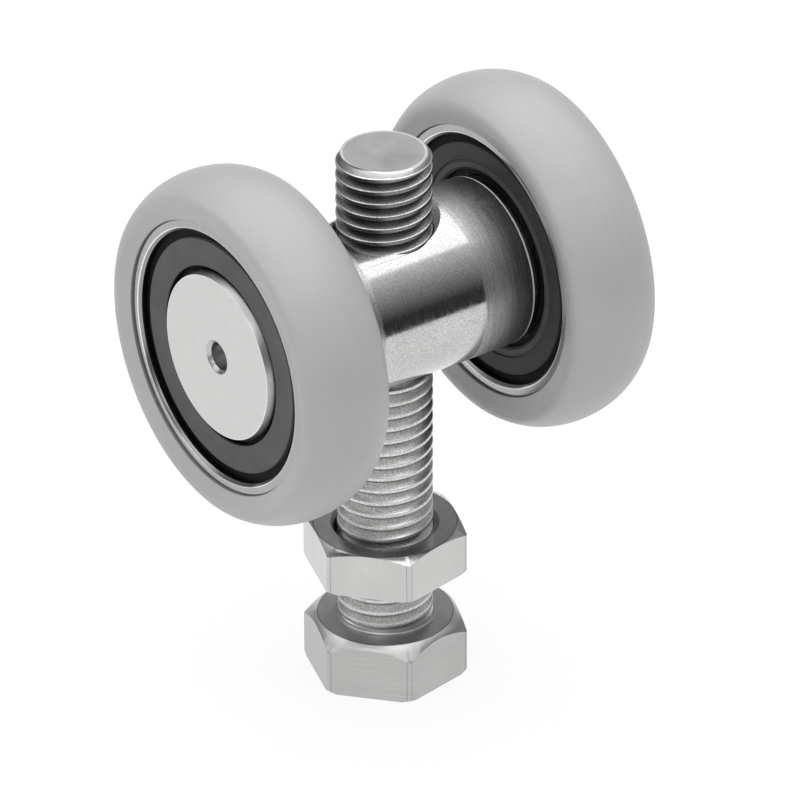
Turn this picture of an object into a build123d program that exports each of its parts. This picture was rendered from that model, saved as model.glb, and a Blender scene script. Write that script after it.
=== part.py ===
from build123d import *
from math import cos, pi, radians, tan
import os

# Sliding door hanger roller: a cross axle with a ball-bearing wheel at each end, on one hanger bolt
# Sizes are in millimetres
# X is the way the wheels roll, Y lies along the axle and Z points up
# The origin is the middle of the underside of the bolt's head, on which the part stands

# Hanger bolt
thread_diameter = 12.0  # nominal size of the bolt's thread
thread_pitch = 1.75  # from one crest to the next
thread_depth_ratio = 0.6134  # depth of the thread for each unit of pitch
thread_allowance = 0.08  # radial gap between the crests and each hole that the bolt passes
crest_flat = 0.3  # width of the flat on each crest
bolt_length = 65.0  # from the head's bearing face to the bolt's free end
neck_length = 1.0  # least plain length between the head and the first thread
point_chamfer = 0.62  # bevel round the free end
underhead_radius = 0.35  # fillet between the neck and the bearing face
head_height = 7.5

# Hexagons of the head and the lock nut
across_flats = 18.0
hex_turn = 41.0  # degrees from X to the nearest corner
head_chamfer_angle = 42.0  # degrees between the head's corner chamfers and its bearing face
nut_chamfer_angle = 27.0  # the same, on the nut
bearing_face_inset = 0.6  # the bearing face's circle lies this far inside the flats
nut_face_inset = 0.1  # the same, on the nut's upper face
foot_corner_cut = 0.5  # how far the corners of both undersides are cut back
envelope_margin = 0.3  # how far the rounding-off reaches past the corners

# Lock nut
nut_height = 6.0
nut_countersink = 0.45  # bevel round each mouth of the nut's hole
bracket_gap = 6.9  # free height between head and nut, which takes the door's bracket

# Axle
bolt_projection = 20.2  # from the axle's centre line up to the bolt's free end
axle_body_length = 30.0  # between the two shoulders that the bearings sit against
shoulder_height = 2.3  # from the bearing seats out to the body's surface
axle_edge = 0.3  # bevel on the body's ends
seat_edge = 0.3  # bevel on the ends of the bearing seats
cross_countersink = 1.4  # widening round each mouth of the cross hole
countersink_angle = 90  # degrees across a countersink

# End caps
cap_thickness = 1.05
cap_lap = 0.4  # the rim lies this far inside the inner ring's land
cap_bevel = 0.4  # how much the outer face is smaller than the rim, in radius
cap_rim = 0.1  # straight part of the cap's edge
cap_setback = 0.15  # the cap's face lies this far behind the bearing's face
stem_diameter = 10.0
stem_length = 8.0
bore_end_gap = 0.5  # free depth behind the stem
seat_end_gap = 0.1  # the bearing seat ends this far short of the cap
centre_hole_diameter = 3.5
centre_hole_depth = 2.5
centre_hole_countersink = 0.45

# Ball bearing
bearing_bore = 17.0
bearing_outer_diameter = 35.0
ball_diameter = 4.762
ball_play = 0.02  # radial gap between a ball and each raceway
raceway_conformity = 0.52  # raceway radius for each unit of ball diameter
land_offset = 1.7  # from the pitch circle to the rings' lands
ring_step = 0.2  # the inner ring's inward face lies this far inside the outer ring's face
ring_edge = 0.2  # bevel on the outer ring's outside corners
bore_edge = 0.4  # bevel on the inner ring's bore
key_groove_width = 3.0  # groove round the outer ring that keys the tyre
key_groove_depth = 0.6

# Cage of two riveted ribbons
cage_thickness = 0.5
cage_half_band = 0.9  # half the ribbon's width across the pitch circle
pocket_play = 0.12  # gap between a ball and its pocket
rivet_diameter = 0.9
rivet_head_diameter = 1.3
rivet_head_height = 0.3
pocket_spacing = 2.1  # room for a rivet between two pockets

# Seals
seal_thickness = 1.25
seal_clearance = 0.2  # between the turning cage and a seal
seal_recess = 0.75  # the seal's face lies this far inside the ring's face
seal_rim_step = 0.5  # the seal's rim lies this much lower than its face
seal_rim_width = 1.3  # from the seat inwards to the raised face
seal_rim_bevel = 0.1  # slope between the rim and the raised face
seal_seat_wall = 1.15  # wall of the outer ring outside the seat that grips the seal
seat_lip = 0.25  # the ring's lip reaches this far over the seal's rim
face_bevel = 0.4  # bevel inside the outer ring's face
seal_edge_gap = 0.1  # the seal's face starts this far outside the inner ring's land
seal_edge_bevel = 0.12
seal_groove_depth = 0.75  # step in the inner ring that the sealing lip runs over
lip_gap = 0.08  # running gap under the sealing lip
lip_thickness = 0.4
lip_face_gap = 0.3  # from the inner ring's step to the lip

# Tyre
seam_height = 0.25  # the tyre starts this far proud of the ring's face
side_swell = 0.95  # the side grows this much wider from the seam to the crease
side_band = 2.6  # from the ring out to the crease
crease_radius = 1.5
shoulder_rise = 2.1  # from the crease to the edge of the crown
crown_half_width = 2.6
crown_drop = 0.3  # the crown's edge lies this much below its middle

# Heights and radii that follow from the bolt
bolt_top = head_height + bolt_length
axle_height = bolt_top - bolt_projection
crest_radius = thread_diameter / 2 - thread_allowance
root_radius = crest_radius - thread_depth_ratio * thread_pitch
thread_hole_radius = thread_diameter / 2
nut_bottom = head_height + bracket_gap
nut_top = nut_bottom + nut_height
half_flats = across_flats / 2
corner_radius = half_flats / cos(radians(30))

# Radii of the bearing
bore_radius = bearing_bore / 2
ring_radius = bearing_outer_diameter / 2
pitch_radius = (bore_radius + ring_radius) / 2
ball_radius = ball_diameter / 2
raceway_radius = raceway_conformity * ball_diameter
inner_land = pitch_radius - land_offset
outer_land = pitch_radius + land_offset
inner_raceway = pitch_radius - ball_radius - ball_play
outer_raceway = pitch_radius + ball_radius + ball_play
raceway_rise = raceway_radius - ball_radius - ball_play + land_offset
raceway_edge = (raceway_radius**2 - raceway_rise**2) ** 0.5
seal_seat_radius = ring_radius - seal_seat_wall
lip_land = inner_land - seal_groove_depth
pocket_radius = ball_radius + pocket_play
pocket_outer_radius = pocket_radius + cage_thickness
ball_count = int(2 * pi * pitch_radius / (2 * pocket_outer_radius + pocket_spacing))
rivet_angle = 180 / ball_count

# Distances from a wheel's middle plane, counted along the axle away from the bolt
seal_back = pocket_outer_radius + seal_clearance
seal_face = seal_back + seal_thickness
ring_face = seal_face + seal_recess
inner_ring_inward = ring_face - ring_step
cap_face = ring_face - cap_setback
inner_ring_outward = cap_face - cap_thickness
inner_step = seal_back - lip_face_gap
seat_end = inner_ring_outward - seat_end_gap
bore_floor = inner_ring_outward - stem_length - bore_end_gap
wheel_offset = axle_body_length / 2 + inner_ring_inward

# Radii of the axle and the tyre
axle_radius = bore_radius + shoulder_height
cap_radius = inner_land - cap_lap
stem_radius = stem_diameter / 2
seam_face = ring_face + seam_height
crease_offset = seam_face + side_swell
crease_height = ring_radius + side_band
crown_edge = crease_height + shoulder_rise
tyre_radius = crown_edge + crown_drop

axle_axis = Axis((0, 0, axle_height), (0, 1, 0))
axle_plane = Plane(origin=(0, 0, axle_height), x_dir=(0, 1, 0), z_dir=(1, 0, 0))

os.makedirs("parts", exist_ok=True)


def hex_envelope(bottom, top, angle, top_inset):
    """Half section that rounds off a hexagon's corners between two heights."""
    slope = tan(radians(angle))
    reach = corner_radius + envelope_margin
    bottom_circle = corner_radius - foot_corner_cut
    top_circle = half_flats - top_inset
    return [
        (0, bottom),
        (bottom_circle, bottom),
        (reach, bottom + (reach - bottom_circle) * slope),
        (reach, top - (reach - top_circle) * slope),
        (top_circle, top),
        (0, top),
    ]


def thread_rings(start, count):
    """Section of the thread, drawn as one ring for each turn, from its lowest crest upwards."""
    points = []
    for turn in range(count):
        foot = start + turn * thread_pitch
        points.append((crest_radius, foot + crest_flat / 2))
        points.append((root_radius, foot + thread_pitch / 2))
        points.append((crest_radius, foot + thread_pitch - crest_flat / 2))
    return points


def seal_outline(way):
    """Section of one seal, on the side of the wheel's middle plane that way gives."""
    face_edge = inner_land + seal_edge_gap
    rim_face = seal_face - seal_rim_step
    rim_edge = seal_seat_radius - seal_rim_width
    lip_edge = lip_land + lip_gap
    corners = [
        (seal_back, lip_edge),
        (seal_back, seal_seat_radius),
        (rim_face, seal_seat_radius),
        (rim_face, rim_edge),
        (seal_face, rim_edge - seal_rim_bevel),
        (seal_face, face_edge + seal_edge_bevel),
        (seal_face - seal_edge_bevel, face_edge),
        (seal_back + lip_thickness, face_edge),
        (seal_back + lip_thickness, lip_edge),
    ]
    return [(way * distance, radius) for distance, radius in corners]


# Hanger bolt
thread_turns = int((bolt_length - neck_length - point_chamfer) // thread_pitch)
thread_start = bolt_top - point_chamfer - thread_turns * thread_pitch
flare_radius = crest_radius + underhead_radius
with BuildPart() as hanger_bolt:
    with BuildSketch(Plane.XY) as head_outline:
        RegularPolygon(half_flats, 6, major_radius=False, rotation=hex_turn)
    extrude(amount=head_height)
    with BuildSketch(Plane.XZ) as head_envelope:
        with BuildLine() as head_section:
            Polyline(hex_envelope(0, head_height, head_chamfer_angle, bearing_face_inset), close=True)
        make_face()
    revolve(axis=Axis.Z, mode=Mode.INTERSECT)
    with BuildSketch(Plane.XZ) as shank_section:
        with BuildLine() as shank_outline:
            root = Polyline((0, head_height / 2), (flare_radius, head_height / 2), (flare_radius, head_height))
            flare = TangentArc(root @ 1, (crest_radius, head_height + underhead_radius), tangent=(-1, 0))
            Polyline(
                flare @ 1,
                *thread_rings(thread_start, thread_turns),
                (crest_radius, bolt_top - point_chamfer),
                (crest_radius - point_chamfer, bolt_top),
                (0, bolt_top),
                root @ 0,
            )
        make_face()
    revolve(axis=Axis.Z)
hanger_bolt.part.label = "hanger_bolt"
export_step(hanger_bolt.part, "parts/hanger_bolt.step")

# Lock nut
with BuildPart() as lock_nut:
    with BuildSketch(Plane.XY.offset(nut_bottom)) as nut_outline:
        RegularPolygon(half_flats, 6, major_radius=False, rotation=hex_turn)
    extrude(amount=nut_height)
    with BuildSketch(Plane.XZ) as nut_envelope:
        with BuildLine() as nut_section:
            Polyline(hex_envelope(nut_bottom, nut_top, nut_chamfer_angle, nut_face_inset), close=True)
        make_face()
    revolve(axis=Axis.Z, mode=Mode.INTERSECT)
    with Locations((0, 0, nut_top)):
        Hole(thread_hole_radius)
    hole_mouths = lock_nut.edges().filter_by(GeomType.CIRCLE).sort_by(SortBy.RADIUS)[:2]
    chamfer(hole_mouths, nut_countersink)
lock_nut.part.label = "lock_nut"
export_step(lock_nut.part, "parts/lock_nut.step")

# Axle body with its two bearing seats, the cross hole for the bolt and a blind bore in each end
shoulder = axle_body_length / 2
journal_end = wheel_offset + seat_end
journal_bore = wheel_offset + bore_floor
with BuildPart() as axle_body:
    with BuildSketch(axle_plane) as axle_section:
        with BuildLine() as axle_outline:
            Polyline(
                (0, axle_radius),
                (shoulder - axle_edge, axle_radius),
                (shoulder, axle_radius - axle_edge),
                (shoulder, bore_radius),
                (journal_end - seat_edge, bore_radius),
                (journal_end, bore_radius - seat_edge),
                (journal_end, stem_radius),
                (journal_bore, stem_radius),
                (journal_bore, 0),
                (0, 0),
            )
            mirror(about=Plane.YZ)
        make_face()
    revolve(axis=axle_axis)
    mouth_planes = [
        Plane.XY.offset(axle_height + axle_radius),
        Plane(origin=(0, 0, axle_height - axle_radius), z_dir=(0, 0, -1)),
    ]
    with Locations(*mouth_planes):
        CounterSinkHole(
            thread_hole_radius,
            thread_hole_radius + cross_countersink,
            counter_sink_angle=countersink_angle,
        )
axle_body.part.label = "axle_body"
export_step(axle_body.part, "parts/axle_body.step")

# The two wheels
for hand, side in (("left", -1), ("right", 1)):
    wheel_centre = (0, side * wheel_offset, axle_height)
    wheel_plane = Plane(origin=wheel_centre, x_dir=(1, 0, 0), z_dir=(0, side, 0))
    back_plane = Plane(origin=wheel_centre, x_dir=(1, 0, 0), z_dir=(0, -side, 0))
    section_plane = Plane(origin=wheel_centre, x_dir=(0, side, 0), z_dir=(side, 0, 0))

    # Tyre, moulded round the bearing, with a rib in the ring's key groove
    with BuildPart() as tyre:
        with BuildSketch(section_plane) as tyre_section:
            with BuildLine() as tyre_outline:
                crown = ThreePointArc(
                    (-crown_half_width, crown_edge), (0, tyre_radius), (crown_half_width, crown_edge)
                )
                shoulder_arc = TangentArc(crown @ 1, (crease_offset, crease_height), tangent=crown % 1)
                Polyline(
                    shoulder_arc @ 1,
                    (seam_face, ring_radius),
                    (key_groove_width / 2, ring_radius),
                    (key_groove_width / 2, ring_radius - key_groove_depth),
                    (0, ring_radius - key_groove_depth),
                )
                mirror(about=Plane.YZ)
            make_face()
            creases = tyre_section.vertices().sort_by(Axis.X)
            fillet([creases[0], creases[-1]], crease_radius)
        revolve(axis=axle_axis)
    tyre.part.label = f"{hand}_tyre"
    export_step(tyre.part, f"parts/{hand}_tyre.step")

    # Outer ring
    rim_face = seal_face - seal_rim_step
    mouth_radius = seal_seat_radius - seat_lip
    with BuildPart() as outer_ring:
        with BuildSketch(section_plane) as outer_ring_section:
            with BuildLine() as outer_ring_outline:
                ThreePointArc((-raceway_edge, outer_land), (0, outer_raceway), (raceway_edge, outer_land))
                Polyline(
                    (raceway_edge, outer_land),
                    (seal_back, outer_land),
                    (seal_back, seal_seat_radius),
                    (rim_face, seal_seat_radius),
                    (rim_face, mouth_radius),
                    (ring_face - face_bevel, mouth_radius),
                    (ring_face, mouth_radius + face_bevel),
                    (ring_face, ring_radius - ring_edge),
                    (ring_face - ring_edge, ring_radius),
                    (key_groove_width / 2, ring_radius),
                    (key_groove_width / 2, ring_radius - key_groove_depth),
                    (0, ring_radius - key_groove_depth),
                )
                mirror(about=Plane.YZ)
            make_face()
        revolve(axis=axle_axis)
    outer_ring.part.label = f"{hand}_outer_ring"
    export_step(outer_ring.part, f"parts/{hand}_outer_ring.step")

    # Inner ring, narrower on the outward side to leave room for the end cap
    with BuildPart() as inner_ring:
        with BuildSketch(section_plane) as inner_ring_section:
            with BuildLine() as inner_ring_outline:
                ThreePointArc((-raceway_edge, inner_land), (0, inner_raceway), (raceway_edge, inner_land))
                Polyline(
                    (raceway_edge, inner_land),
                    (inner_step, inner_land),
                    (inner_step, lip_land),
                    (inner_ring_outward, lip_land),
                    (inner_ring_outward, bore_radius + bore_edge),
                    (inner_ring_outward - bore_edge, bore_radius),
                    (-inner_ring_inward + bore_edge, bore_radius),
                    (-inner_ring_inward, bore_radius + bore_edge),
                    (-inner_ring_inward, lip_land),
                    (-inner_step, lip_land),
                    (-inner_step, inner_land),
                    (-raceway_edge, inner_land),
                )
            make_face()
        revolve(axis=axle_axis)
    inner_ring.part.label = f"{hand}_inner_ring"
    export_step(inner_ring.part, f"parts/{hand}_inner_ring.step")

    # Balls
    with BuildPart(wheel_plane) as balls:
        with PolarLocations(pitch_radius, ball_count):
            Sphere(ball_radius)
    balls.part.label = f"{hand}_balls"
    export_step(balls.part, f"parts/{hand}_balls.step")

    # Cage halves: a flat ribbon pressed into a pocket over each ball
    for face, cage_plane in (("outer", wheel_plane), ("inner", back_plane)):
        with BuildPart(cage_plane) as cage_half:
            with BuildSketch(cage_plane) as ribbon:
                Circle(pitch_radius + cage_half_band)
                Circle(pitch_radius - cage_half_band, mode=Mode.SUBTRACT)
            extrude(amount=cage_thickness)
            with PolarLocations(pitch_radius, ball_count):
                Sphere(pocket_outer_radius)
            with PolarLocations(pitch_radius, ball_count):
                Sphere(pocket_radius, mode=Mode.SUBTRACT)
            with BuildSketch(cage_plane) as ribbon_band:
                Circle(pitch_radius + cage_half_band)
                Circle(pitch_radius - cage_half_band, mode=Mode.SUBTRACT)
            extrude(amount=pocket_outer_radius, mode=Mode.INTERSECT)
            with BuildSketch(cage_plane) as rivet_holes:
                with PolarLocations(pitch_radius, ball_count, start_angle=rivet_angle):
                    Circle(rivet_diameter / 2)
            extrude(amount=cage_thickness, mode=Mode.SUBTRACT)
        cage_half.part.label = f"{hand}_cage_{face}_half"
        export_step(cage_half.part, f"parts/{hand}_cage_{face}_half.step")

    # Cage rivets
    with BuildPart() as cage_rivets:
        with BuildSketch(wheel_plane.offset(-cage_thickness)) as rivet_shanks:
            with PolarLocations(pitch_radius, ball_count, start_angle=rivet_angle):
                Circle(rivet_diameter / 2)
        extrude(amount=2 * cage_thickness)
        for head_plane in (wheel_plane.offset(cage_thickness), back_plane.offset(cage_thickness)):
            with BuildSketch(head_plane) as rivet_heads:
                with PolarLocations(pitch_radius, ball_count, start_angle=rivet_angle):
                    Circle(rivet_head_diameter / 2)
            extrude(amount=rivet_head_height)
    cage_rivets.part.label = f"{hand}_cage_rivets"
    export_step(cage_rivets.part, f"parts/{hand}_cage_rivets.step")

    # Seals
    for face, way in (("outer", 1), ("inner", -1)):
        with BuildPart() as seal:
            with BuildSketch(section_plane) as seal_section:
                with BuildLine() as seal_edges:
                    Polyline(seal_outline(way), close=True)
                make_face()
            revolve(axis=axle_axis)
        seal.part.label = f"{hand}_{face}_seal"
        export_step(seal.part, f"parts/{hand}_{face}_seal.step")

    # End cap, pressed into the axle to hold the bearing on its seat
    with BuildPart() as end_cap:
        with BuildSketch(section_plane) as cap_section:
            with BuildLine() as cap_outline:
                Polyline(
                    (inner_ring_outward - stem_length, 0),
                    (inner_ring_outward - stem_length, stem_radius),
                    (inner_ring_outward, stem_radius),
                    (inner_ring_outward, cap_radius),
                    (inner_ring_outward + cap_rim, cap_radius),
                    (cap_face, cap_radius - cap_bevel),
                    (cap_face, 0),
                    close=True,
                )
            make_face()
        revolve(axis=axle_axis)
        with Locations(wheel_plane.offset(cap_face)):
            CounterSinkHole(
                centre_hole_diameter / 2,
                centre_hole_diameter / 2 + centre_hole_countersink,
                depth=centre_hole_depth,
                counter_sink_angle=countersink_angle,
            )
    end_cap.part.label = f"{hand}_end_cap"
    export_step(end_cap.part, f"parts/{hand}_end_cap.step")
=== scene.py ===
"""Sliding door hanger roller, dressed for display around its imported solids."""

import logging
import math
from dataclasses import dataclass, field
from enum import Enum

import bpy
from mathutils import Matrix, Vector


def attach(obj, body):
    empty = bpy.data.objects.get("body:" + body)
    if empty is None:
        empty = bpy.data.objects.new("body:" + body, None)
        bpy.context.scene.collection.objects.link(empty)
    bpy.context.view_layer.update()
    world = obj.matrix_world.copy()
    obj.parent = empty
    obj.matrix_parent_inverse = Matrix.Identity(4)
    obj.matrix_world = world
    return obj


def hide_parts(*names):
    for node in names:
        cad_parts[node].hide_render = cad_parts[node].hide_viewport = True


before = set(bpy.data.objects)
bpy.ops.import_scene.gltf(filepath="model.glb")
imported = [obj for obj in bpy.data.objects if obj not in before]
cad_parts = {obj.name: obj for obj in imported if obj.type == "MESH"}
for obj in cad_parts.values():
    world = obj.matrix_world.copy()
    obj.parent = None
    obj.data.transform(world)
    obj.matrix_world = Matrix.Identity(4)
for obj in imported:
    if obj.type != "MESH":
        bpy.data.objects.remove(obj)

MM = 0.001
AXLE_HEIGHT = 52.3
WHEEL_OFFSET = 20.001
AXLE_CENTRE = Vector((0.0, 0.0, AXLE_HEIGHT * MM))
WHEEL_STEPS = 192  # faces in a full turn of a wheel's piece
ROUND_STEPS = 180  # the same, for what bounds the bolt and the nut
DRILL_STEPS = 144  # the same, for what cuts a hole
SOFT_EDGE = 0.12  # width of the hexagons' softened edges, in millimetres
SOFT_FROM = 20.0  # degrees from which their edges are softened
SMOOTH_UP_TO = 34.0  # degrees up to which an edge is shaded smooth
THREAD_SMOOTH_UP_TO = 26.0  # the same on the thread, whose flank meets the end face at 32
WELD = 1e-6  # metres within which vertices are merged
SIDE_SHARE = 0.49  # most of a side that one rounded corner takes
BLACK = (0.0, 0.0, 0.0, 1.0)
WHITE = (1.0, 1.0, 1.0, 1.0)
Point = tuple[float, float]
Place = tuple[float, float, float]
Piece = bpy.types.Object
Socket = bpy.types.NodeSocket
Material = bpy.types.Material

logging.basicConfig(level=logging.INFO, format="%(message)s")
log = logging.getLogger("hanger_roller")


class Axis(Enum):
    """Line that a section is turned about."""

    ALONG_AXLE = "along_axle"
    ALONG_BOLT = "along_bolt"


class Grain(Enum):
    """Direction in which a metal surface was worked."""

    BLASTED = "blasted"
    ROUND_AXLE = "round_axle"
    ROUND_BOLT = "round_bolt"
    UPRIGHT = "upright"


class SealFace(Enum):
    """Shape of a seal's visible face."""

    FLAT = "flat"
    LIPPED = "lipped"


class Measure(Enum):
    """What tells the zones of a surface apart."""

    HEIGHT = "height"
    AXLE_RADIUS = "axle_radius"
    BOLT_RADIUS = "bolt_radius"
    FROM_MIDDLE = "from_middle"


def arc_points(centre: Point, start: Point, turn: float, count: int) -> list[Point]:
    """Points along an arc, without its first point.

    Args:
        centre: centre of the arc.
        start: first point of the arc.
        turn: angle of the arc in radians, positive anticlockwise.
        count: number of steps along the arc.

    Returns:
        The points after the first one, in order.
    """
    dx, dy = start[0] - centre[0], start[1] - centre[1]
    points = []
    for step in range(1, count + 1):
        angle = turn * step / count
        cosine, sine = math.cos(angle), math.sin(angle)
        points.append((centre[0] + dx * cosine - dy * sine, centre[1] + dx * sine + dy * cosine))
    return points


def eased(corners: list[Place], steps: int = 3, closed: bool = True) -> list[Point]:
    """Draws a section with its corners rounded.

    Args:
        corners: for each corner its two coordinates and its rounding radius.
        steps: number of chords in each rounded corner.
        closed: whether the last corner is joined to the first.

    Returns:
        The points of the section.
    """
    points = []
    count = len(corners)
    for index, (x, y, radius) in enumerate(corners):
        inner = closed or 0 < index < count - 1
        if radius <= 0 or not inner:
            points.append((x, y))
            continue
        here = Vector((x, y))
        before = Vector(corners[index - 1][:2]) - here
        after = Vector(corners[(index + 1) % count][:2]) - here
        half = before.angle(after) / 2
        reach = min(radius / math.tan(half), SIDE_SHARE * before.length, SIDE_SHARE * after.length)
        radius = reach * math.tan(half)
        first = here + before.normalized() * reach
        last = here + after.normalized() * reach
        middle = here + (before.normalized() + after.normalized()).normalized() * (radius / math.sin(half))
        spin = math.pi - 2 * half
        side = (first - middle).cross(last - middle)
        turn = spin if side > 0 else -spin
        points.append((first.x, first.y))
        points += arc_points((middle.x, middle.y), (first.x, first.y), turn, steps)
    return points


def mirrored(half: list[Point]) -> list[Point]:
    """Repeats a half section on the other side of the middle plane, from its end back."""
    return [(-along, radius) for along, radius in reversed(half)]


def toned(colour: Place, factor: float) -> tuple[float, ...]:
    """Colour with an alpha of 1, its parts multiplied by a factor."""
    return tuple(factor * part for part in colour) + (1.0,)


class Bench:
    """Hand tools for one mesh at a time."""

    @staticmethod
    def clear() -> None:
        """Leaves edit mode and selects nothing."""
        if bpy.context.mode != "OBJECT":
            Bench.leave()
        bpy.ops.object.select_all(action="DESELECT")

    @staticmethod
    def pick(piece: Piece) -> None:
        """Makes one object the only one selected."""
        Bench.clear()
        piece.select_set(True)
        bpy.context.view_layer.objects.active = piece

    @staticmethod
    def edit() -> None:
        """Enters edit mode on the active object with everything selected."""
        bpy.ops.object.mode_set(mode="EDIT")
        bpy.ops.mesh.select_all(action="SELECT")

    @staticmethod
    def leave() -> None:
        """Leaves edit mode."""
        bpy.ops.object.mode_set(mode="OBJECT")

    @staticmethod
    def modify(piece: Piece, kind: str, **settings: object) -> None:
        """Adds a modifier with the given settings and applies it."""
        Bench.pick(piece)
        bpy.ops.object.modifier_add(type=kind)
        modifier = piece.modifiers[-1]
        for name, value in settings.items():
            setattr(modifier, name, value)
        bpy.ops.object.modifier_apply(modifier=modifier.name)

    @staticmethod
    def named(name: str) -> Piece:
        """Names the active object and its mesh."""
        piece = bpy.context.active_object
        piece.name = name
        piece.data.name = name
        return piece

    @staticmethod
    def line(name: str, points: list[Vector]) -> Piece:
        """Draws a chain of edges by extruding one vertex.

        Args:
            name: name of the new object.
            points: places of the vertices, in metres.

        Returns:
            The object, left in edit mode with every vertex selected.
        """
        Bench.clear()
        bpy.ops.mesh.primitive_plane_add(size=0.01)
        piece = Bench.named(name)
        Bench.edit()
        bpy.ops.mesh.merge(type="CENTER")
        bpy.ops.transform.translate(value=points[0])
        for start, end in zip(points, points[1:]):
            bpy.ops.mesh.extrude_region_move(TRANSFORM_OT_translate={"value": end - start})
        bpy.ops.mesh.select_all(action="SELECT")
        return piece

    @staticmethod
    def turned(
        name: str,
        section: list[Point],
        axis: Axis,
        middle: float = 0.0,
        steps: int = WHEEL_STEPS,
        closed: bool = True,
    ) -> Piece:
        """Turns a section about the axle's or the bolt's line.

        Args:
            name: name of the new object.
            section: points as distance along the axis and radius, in millimetres.
            axis: the line to turn about.
            middle: place along the axis from which distances count, in millimetres.
            steps: number of faces in a full turn.
            closed: whether the last point is joined to the first.

        Returns:
            The closed solid, in object mode.
        """
        if closed:
            section = section + section[:1]
        if axis is Axis.ALONG_AXLE:
            points = [
                Vector((0.0, (middle + along) * MM, (AXLE_HEIGHT + radius) * MM))
                for along, radius in section
            ]
            centre, direction = AXLE_CENTRE, (0.0, 1.0, 0.0)
        else:
            points = [Vector((radius * MM, 0.0, (middle + along) * MM)) for along, radius in section]
            centre, direction = Vector((0.0, 0.0, 0.0)), (0.0, 0.0, 1.0)
        piece = Bench.line(name, points)
        bpy.ops.mesh.spin(steps=steps, angle=math.tau, center=centre, axis=direction)
        Bench.close_up()
        return piece

    @staticmethod
    def drill(bottom: float, top: float, hole: float, flare: float, depth: float, past: float = 2.0) -> Piece:
        """Turns a drill about the bolt's line that leaves a countersink at both mouths.

        Args:
            bottom: height of the lower mouth in millimetres.
            top: height of the upper mouth.
            hole: radius of the hole.
            flare: how much wider than the hole its mouths are.
            depth: depth of the countersinks.
            past: how far the drill stands out at both ends.

        Returns:
            The closed solid.
        """
        wide = hole + flare * (1 + past / depth)
        section = [(bottom - past, 0.0), (bottom - past, wide), (bottom + depth, hole)]
        section += [(top - depth, hole), (top + past, wide), (top + past, 0.0)]
        return Bench.turned("drill", section, Axis.ALONG_BOLT, steps=DRILL_STEPS, closed=False)

    @staticmethod
    def close_up() -> None:
        """Merges doubles, points every face outwards and leaves edit mode."""
        bpy.ops.mesh.select_all(action="SELECT")
        bpy.ops.mesh.remove_doubles(threshold=WELD)
        bpy.ops.mesh.normals_make_consistent(inside=False)
        Bench.leave()

    @staticmethod
    def combine(piece: Piece, other: Piece, operation: str) -> None:
        """Applies a boolean with another solid, which is used up.

        Args:
            piece: the solid that is kept.
            other: the solid that cuts or bounds it.
            operation: DIFFERENCE or INTERSECT.
        """
        Bench.modify(piece, "BOOLEAN", operation=operation, solver="EXACT", object=other)
        Bench.edit()
        bpy.ops.mesh.remove_doubles(threshold=2 * WELD)
        bpy.ops.mesh.dissolve_degenerate(threshold=2 * WELD)
        Bench.leave()
        Bench.pick(other)
        bpy.ops.object.delete()

    @staticmethod
    def soften(piece: Piece, width: float, limit: float) -> None:
        """Bevels the sharp edges of a solid.

        Args:
            piece: the solid.
            width: width of the bevel in millimetres.
            limit: least angle of a sharp edge, in degrees.
        """
        angle = math.radians(limit)
        Bench.modify(piece, "BEVEL", width=width * MM, segments=2, limit_method="ANGLE", angle_limit=angle)

    @staticmethod
    def smooth(piece: Piece, limit: float = SMOOTH_UP_TO) -> None:
        """Shades a solid smooth, with its flat faces kept flat and its sharp edges kept sharp."""
        Bench.pick(piece)
        bpy.ops.object.shade_smooth_by_angle(angle=math.radians(limit))
        Bench.modify(piece, "WEIGHTED_NORMAL", keep_sharp=True)

    @staticmethod
    def copied(piece: Piece, name: str, shift: float = 0.0, mirror_at: float | None = None) -> Piece:
        """Copies a solid with its own mesh, moved along the axle or mirrored.

        Args:
            piece: the solid to copy.
            name: name of the copy.
            shift: move along the axle in millimetres.
            mirror_at: place along the axle of a mirror plane in millimetres, if there is one.

        Returns:
            The copy, at the origin with its place in its mesh.
        """
        Bench.pick(piece)
        bpy.ops.object.duplicate()
        copy = Bench.named(name)
        Bench.edit()
        if mirror_at is not None:
            bpy.ops.transform.resize(value=(1.0, -1.0, 1.0), center_override=(0.0, mirror_at * MM, 0.0))
            bpy.ops.mesh.normals_make_consistent(inside=False)
            bpy.ops.mesh.customdata_custom_splitnormals_clear()
        if shift:
            bpy.ops.transform.translate(value=(0.0, shift * MM, 0.0))
        Bench.leave()
        if mirror_at is not None:
            Bench.smooth(copy)
        return copy


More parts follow.
